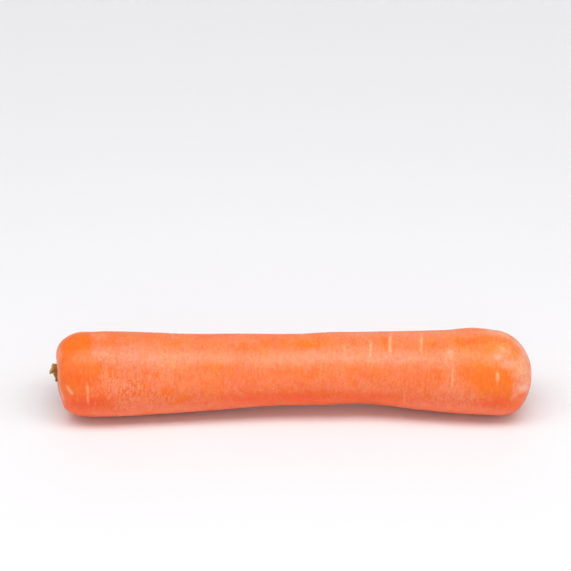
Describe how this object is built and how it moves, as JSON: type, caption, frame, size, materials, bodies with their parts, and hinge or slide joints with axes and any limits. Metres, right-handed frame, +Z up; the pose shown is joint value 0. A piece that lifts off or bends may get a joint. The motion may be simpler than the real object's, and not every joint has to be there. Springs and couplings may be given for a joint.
{
  "type": "carrot",
  "caption": "Fresh topped carrot lying on its side: a blunt-ended, slightly bent orange taproot with short cut leaf stalks standing in the hollow of its crown.",
  "frame": {"origin": "middle of the underside of the whole carrot's box, on the surface it lies on", "axes": "+X along the root from the crown to the blunt tip, +Z up, +Y the side that the slimmer middle of the root swings towards"},
  "size_m": [0.1828, 0.0346, 0.0328],
  "materials": {
    "carrot_flesh": "satin",
    "dry_stalk": "matte"
  },
  "bodies": {
    "root": {"root": "carrot_flesh", "leaf_stalk_1": "dry_stalk", "leaf_stalk_2": "dry_stalk", "leaf_stalk_3": "dry_stalk", "leaf_stalk_4": "dry_stalk", "leaf_stalk_5": "dry_stalk", "leaf_stalk_6": "dry_stalk", "leaf_stalk_7": "dry_stalk"}
  },
  "joints": []
}
